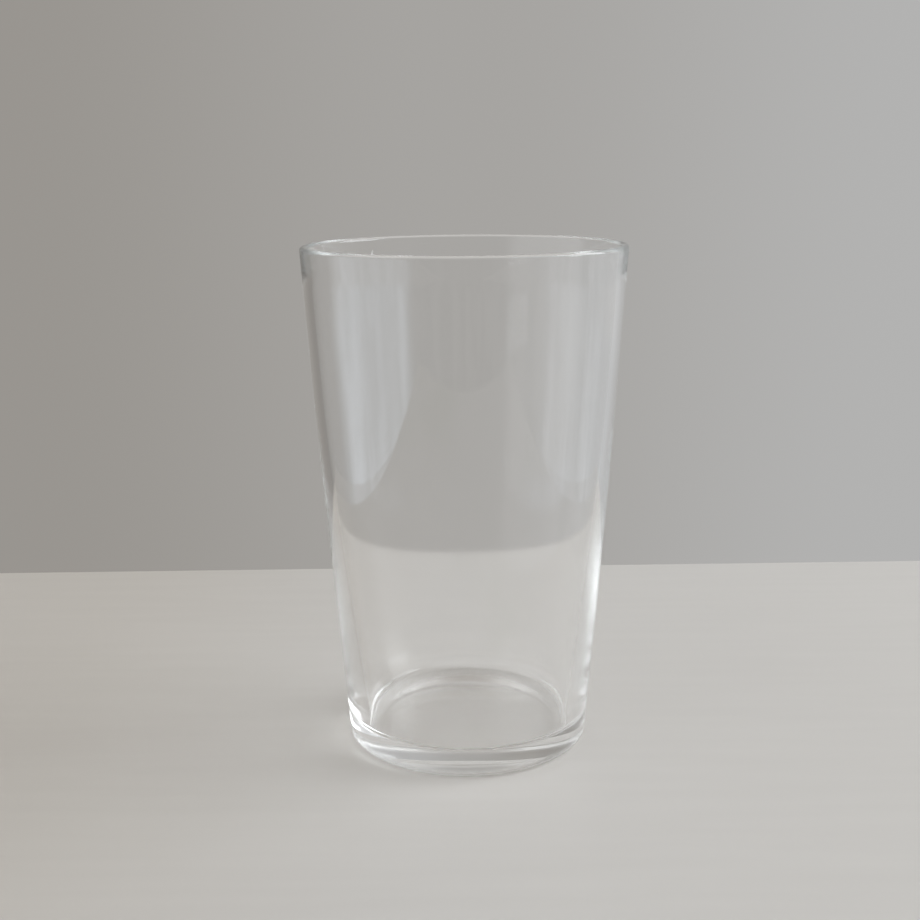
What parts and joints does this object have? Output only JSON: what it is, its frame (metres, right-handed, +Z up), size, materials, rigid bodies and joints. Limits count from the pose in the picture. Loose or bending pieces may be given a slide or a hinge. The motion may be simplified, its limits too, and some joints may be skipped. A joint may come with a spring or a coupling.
{
  "type": "drinking beaker",
  "caption": "Plain clear conical drinking beaker: a tapered one-piece glass cup with a thin fire-polished lip, no spout, and a thick flat base.",
  "frame": {"origin": "centre of the underside, on the plane the beaker stands on", "axes": "+Z up along the axis of the cup, from the base to the mouth; the shape is the same all round, so +X and +Y are free"},
  "size_m": [0.076, 0.076, 0.12],
  "materials": {
    "clear_glass": "clear soda-lime glass, fire-polished, smooth and glossy with faint vertical waviness"
  },
  "bodies": {
    "root": {"glass_body": "clear_glass"}
  },
  "joints": []
}
